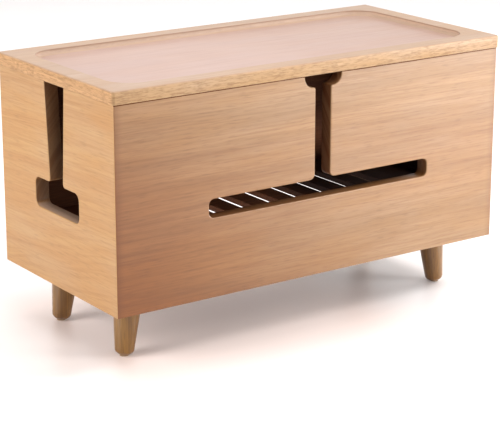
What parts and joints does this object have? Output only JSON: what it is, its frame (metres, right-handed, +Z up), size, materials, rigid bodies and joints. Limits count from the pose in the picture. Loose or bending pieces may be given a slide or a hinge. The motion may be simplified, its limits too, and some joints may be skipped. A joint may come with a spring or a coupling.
{
  "type": "cable management box",
  "caption": "Oblong wooden cable box on splayed turned legs, with a T-shaped cable slot in front, keyhole outlets at both ends, a slotted floor and a lift-off lid that is a shallow tray.",
  "frame": {"origin": "On the ground, under the middle of the box's plan.", "axes": "+X runs along the length, to the right of someone who faces the side with the T-shaped slot; that side faces -Y; +Z is up."},
  "size_m": [0.4024, 0.1924, 0.237],
  "materials": {
    "lid_wood": "satin lacquered beech",
    "panel_wood": "satin lacquered beech",
    "floor_board": "dark stained board",
    "hidden_wood": "plain beech",
    "leg_wood": "satin lacquered beech, turned",
    "screw_steel": "zinc plated",
    "insert_brass": "plain",
    "pad_rubber": "matt"
  },
  "bodies": {
    "box": {"front_panel": "panel_wood", "back_panel": "panel_wood", "left_panel": "panel_wood", "right_panel": "panel_wood", "mitre_splines": "hidden_wood", "floor_panel": "floor_board", "left_leg_rail": "hidden_wood", "right_leg_rail": "hidden_wood", "rail_dowels": "hidden_wood", "leg_inserts": "insert_brass", "hanger_bolts": "screw_steel", "leg_front_left": "leg_wood", "leg_front_right": "leg_wood", "leg_back_left": "leg_wood", "leg_back_right": "leg_wood", "foot_pads": "pad_rubber"},
    "lid_unit": {"lid": "lid_wood", "locating_blocks": "hidden_wood", "block_screws": "screw_steel"}
  },
  "joints": [
    {"name": "lid_lift", "type": "slide", "parent": "box", "child": "lid_unit", "axis": [0, 0, 1], "range_m": [0, 0.1]}
  ]
}
